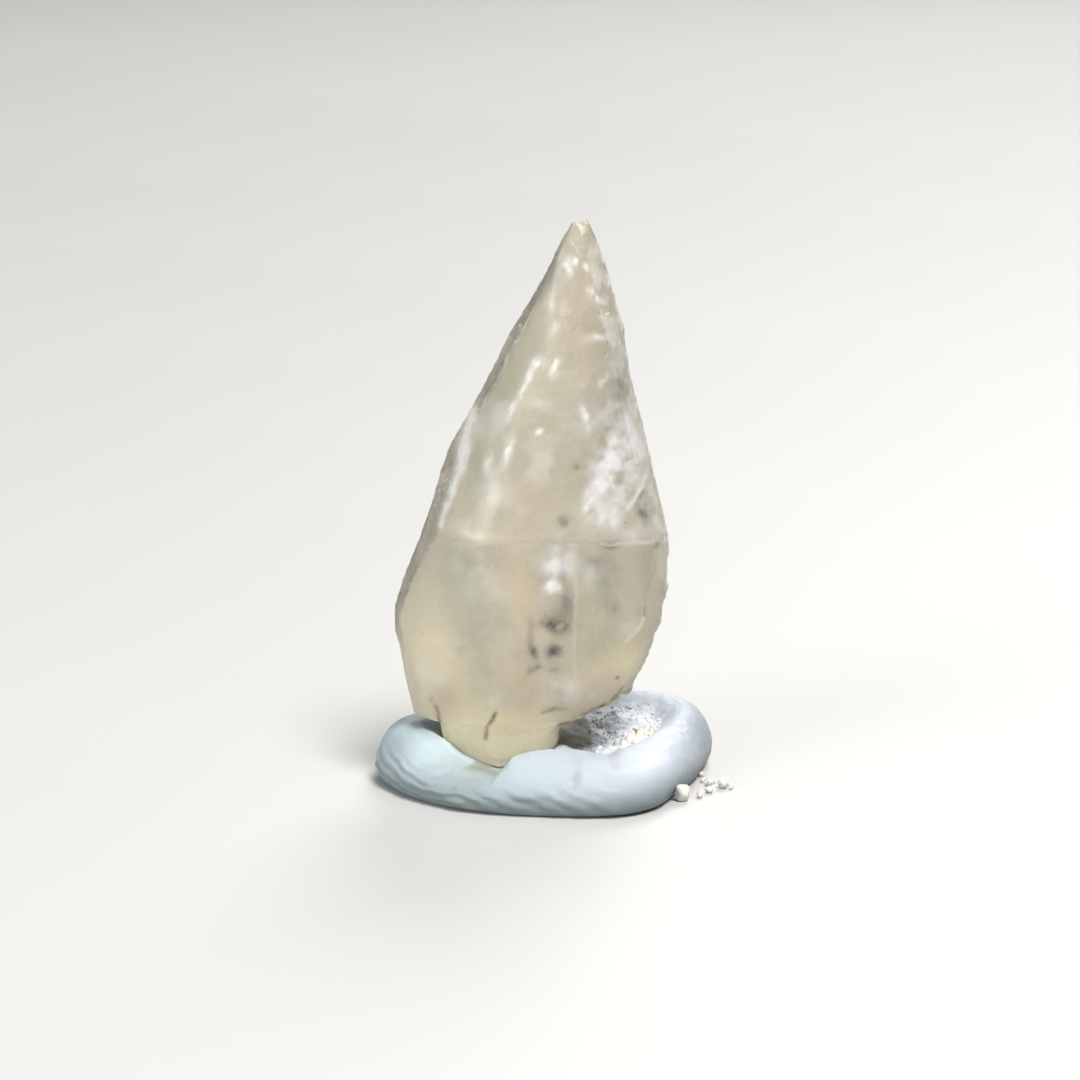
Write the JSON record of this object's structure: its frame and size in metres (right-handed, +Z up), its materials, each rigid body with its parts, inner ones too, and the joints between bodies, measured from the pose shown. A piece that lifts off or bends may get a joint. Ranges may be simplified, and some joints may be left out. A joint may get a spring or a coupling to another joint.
{
  "type": "phenakite crystal on mounting putty",
  "caption": "Milky straw-coloured phenakite crystal, a chipped spearhead, standing point up in a pinched ring of pale blue mounting putty that rests flat.",
  "frame": {"origin": "on the surface that the putty rests on, under the middle of the whole object's box", "axes": "+Z up to the crystal's point, +X to the right and +Y away from the side that shows best"},
  "size_m": [0.0122, 0.0118, 0.0201],
  "materials": {
    "crystal": "satin",
    "putty": "matte"
  },
  "bodies": {
    "root": {"crystal": "crystal", "putty": "putty"}
  },
  "joints": []
}
